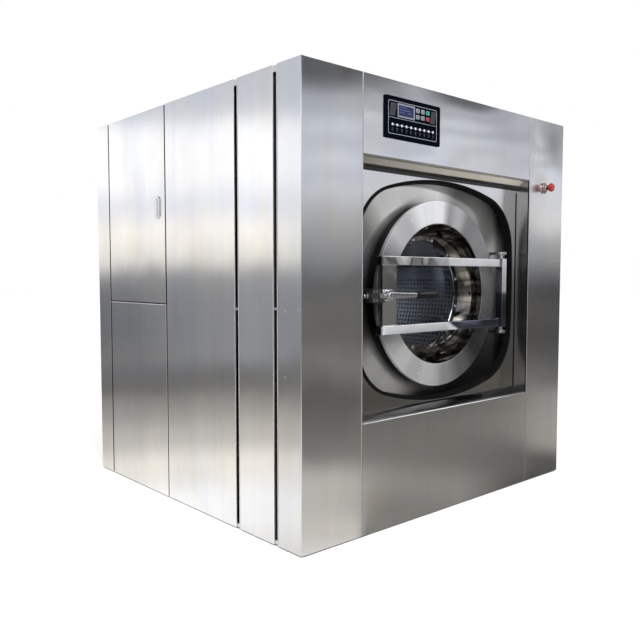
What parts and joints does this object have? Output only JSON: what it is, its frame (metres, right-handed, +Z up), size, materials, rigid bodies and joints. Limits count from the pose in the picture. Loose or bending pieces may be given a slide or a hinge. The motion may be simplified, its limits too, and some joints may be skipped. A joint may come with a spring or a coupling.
{
  "type": "commercial washing machine",
  "caption": "Large stainless-steel washer-extractor with a sprung tub, perforated drum, dished round door on a square yoke, control panel and service door.",
  "frame": {"origin": "centre of the underside of the base frame's middle beam, on the floor under the cabinet's centre", "axes": "+X to the right seen from the front, +Y towards the back, +Z up"},
  "size_m": [1.9323, 1.9193, 1.95],
  "materials": {
    "brushed_stainless": "brushed",
    "polished_stainless": "polished",
    "painted_steel": "satin",
    "motor_paint": "satin",
    "spring_steel": "satin",
    "black_rubber": "matte",
    "black_plastic": "matte",
    "glass": "clear",
    "red_plastic": "gloss",
    "key_white": "matte",
    "key_green": "matte",
    "key_red": "matte"
  },
  "bodies": {
    "cabinet": {"base_frame": "painted_steel", "front_pillar_left": "brushed_stainless", "front_pillar_right": "brushed_stainless", "rear_pillar_left": "brushed_stainless", "rear_pillar_right": "brushed_stainless", "side_panel_left_front": "brushed_stainless", "side_panel_left_middle": "brushed_stainless", "side_panel_left_lower": "brushed_stainless", "side_panel_right_front": "brushed_stainless", "side_panel_right": "brushed_stainless", "front_upper_panel": "brushed_stainless", "front_lower_panel": "brushed_stainless", "door_surround": "brushed_stainless", "surround_trim": "black_rubber", "lid": "brushed_stainless", "rear_panel": "brushed_stainless", "control_box": "painted_steel", "control_plate": "black_plastic", "stop_collar": "polished_stainless", "supply_inlets": "brushed_stainless", "drain_outlet": "brushed_stainless", "cable_gland": "black_plastic", "spring_front_left": "spring_steel", "spring_front_right": "spring_steel", "spring_rear_left": "spring_steel", "spring_rear_right": "spring_steel"},
    "tub": {"tub_shell": "polished_stainless", "tub_front": "polished_stainless", "tub_back": "painted_steel", "door_gasket": "black_rubber", "cradle_left": "painted_steel", "cradle_right": "painted_steel", "motor_body": "motor_paint", "drive_belt": "black_rubber", "hinge_bracket": "polished_stainless", "lock_block": "black_plastic"},
    "drum": {"drum_shell": "polished_stainless", "drum_back": "polished_stainless", "drum_pulley": "painted_steel", "lifter_1": "polished_stainless", "lifter_2": "polished_stainless", "lifter_3": "polished_stainless"},
    "motor_rotor": {"motor_pulley": "painted_steel"},
    "door": {"door_ring": "polished_stainless", "door_bowl": "polished_stainless", "door_glass": "glass", "glass_clamp": "brushed_stainless", "door_yoke": "polished_stainless"},
    "handle": {"door_handle": "polished_stainless", "handle_grip": "black_plastic"},
    "stop_stem": {"stop_stem": "black_plastic"},
    "stop_head": {"stop_head": "red_plastic"},
    "service_door": {"service_door": "brushed_stainless"},
    "service_lock": {"service_lock": "brushed_stainless"},
    "key_down": {"key_down": "key_white"},
    "key_up": {"key_up": "key_white"},
    "key_back": {"key_back": "key_white"},
    "key_enter": {"key_enter": "key_white"},
    "key_stop": {"key_stop": "key_red"},
    "key_start": {"key_start": "key_green"}
  },
  "joints": [
    {"name": "tub_bounce", "type": "slide", "parent": "cabinet", "child": "tub", "axis": [0, 0, 1], "range_m": [-0.02, 0.02], "stiffness_N_per_m": 480000, "springref_m": 0.02307, "deforming": ["spring_front_left", "spring_front_right", "spring_rear_left", "spring_rear_right"]},
    {"name": "drum_spin", "type": "hinge", "parent": "tub", "child": "drum", "pos_m": [0, 0, 1.028], "axis": [0, 1, 0], "continuous": true},
    {"name": "motor_spin", "type": "hinge", "parent": "tub", "child": "motor_rotor", "pos_m": [0.33, 0, 0.528], "axis": [0, 1, 0], "continuous": true},
    {"name": "door_swing", "type": "hinge", "parent": "tub", "child": "door", "pos_m": [0.466, -0.84, 1.028], "axis": [0, 0, 1], "range_deg": [0, 135]},
    {"name": "handle_turn", "type": "hinge", "parent": "door", "child": "handle", "pos_m": [-0.42, -0.87, 1.028], "axis": [0, 1, 0], "range_deg": [0, 90]},
    {"name": "stop_press", "type": "slide", "parent": "cabinet", "child": "stop_stem", "axis": [0, 1, 0], "range_m": [0, 0.005], "stiffness_N_per_m": 800},
    {"name": "stop_twist", "type": "hinge", "parent": "stop_stem", "child": "stop_head", "pos_m": [0.761, -0.94, 1.591], "axis": [0, 1, 0], "range_deg": [0, 45], "stiffness_Nm_per_rad": 0.2},
    {"name": "service_door_swing", "type": "hinge", "parent": "cabinet", "child": "service_door", "pos_m": [-0.96, 0.74975, 1.455], "axis": [0, 0, -1], "range_deg": [0, 110]},
    {"name": "service_lock_turn", "type": "hinge", "parent": "service_door", "child": "service_lock", "pos_m": [-0.96, 0.207, 1.455], "axis": [1, 0, 0], "range_deg": [0, 90]},
    {"name": "key_down_press", "type": "slide", "parent": "cabinet", "child": "key_down", "axis": [0, 1, 0], "range_m": [0, 0.001], "stiffness_N_per_m": 1500},
    {"name": "key_up_press", "type": "slide", "parent": "cabinet", "child": "key_up", "axis": [0, 1, 0], "range_m": [0, 0.001], "stiffness_N_per_m": 1500},
    {"name": "key_back_press", "type": "slide", "parent": "cabinet", "child": "key_back", "axis": [0, 1, 0], "range_m": [0, 0.001], "stiffness_N_per_m": 1500},
    {"name": "key_enter_press", "type": "slide", "parent": "cabinet", "child": "key_enter", "axis": [0, 1, 0], "range_m": [0, 0.001], "stiffness_N_per_m": 1500},
    {"name": "key_stop_press", "type": "slide", "parent": "cabinet", "child": "key_stop", "axis": [0, 1, 0], "range_m": [0, 0.001], "stiffness_N_per_m": 1500},
    {"name": "key_start_press", "type": "slide", "parent": "cabinet", "child": "key_start", "axis": [0, 1, 0], "range_m": [0, 0.001], "stiffness_N_per_m": 1500}
  ],
  "couplings": [
    {"joint": "motor_spin", "follows": "drum_spin", "ratio": 4}
  ]
}
